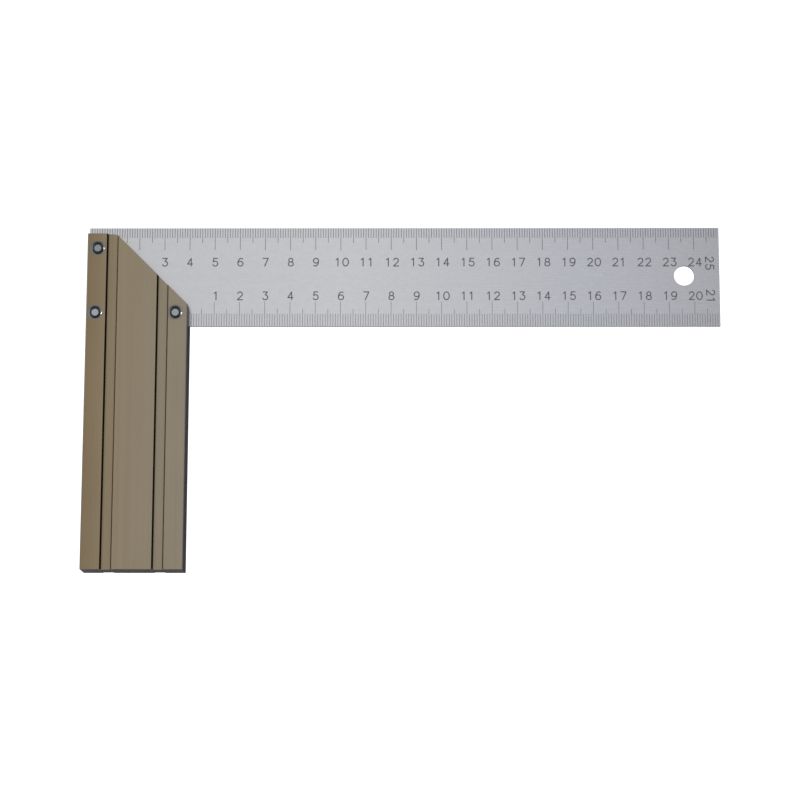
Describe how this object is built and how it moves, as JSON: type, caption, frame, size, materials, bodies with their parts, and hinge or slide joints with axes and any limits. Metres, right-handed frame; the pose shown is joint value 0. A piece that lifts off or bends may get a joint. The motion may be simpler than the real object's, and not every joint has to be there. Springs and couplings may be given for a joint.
{
  "type": "try square",
  "caption": "Fixed try square: a graduated steel blade with a hanging hole, riveted at a right angle into a mitred, grooved aluminium stock.",
  "frame": {"origin": "the inner corner of the square, where the blade's inner edge leaves the stock's inner side, in the blade's mid-plane", "axes": "+X along the blade towards its free end, +Y from the blade's inner edge towards its outer edge, +Z out of the graduated face, so the square lies flat at -Z"},
  "size_m": [0.25, 0.1371, 0.013],
  "materials": {
    "stock_anodised": "satin anodised, bronze, with bare sawn ends",
    "blade_steel": "finely brushed lengthwise, with etched grey scale lines and numbers",
    "rivet_steel": "bright, formed by a riveting tool, dark in the ring groove"
  },
  "bodies": {
    "root": {"stock": "stock_anodised", "blade": "blade_steel", "upper_outer_rivet": "rivet_steel", "lower_outer_rivet": "rivet_steel", "inner_rivet": "rivet_steel"}
  },
  "joints": []
}
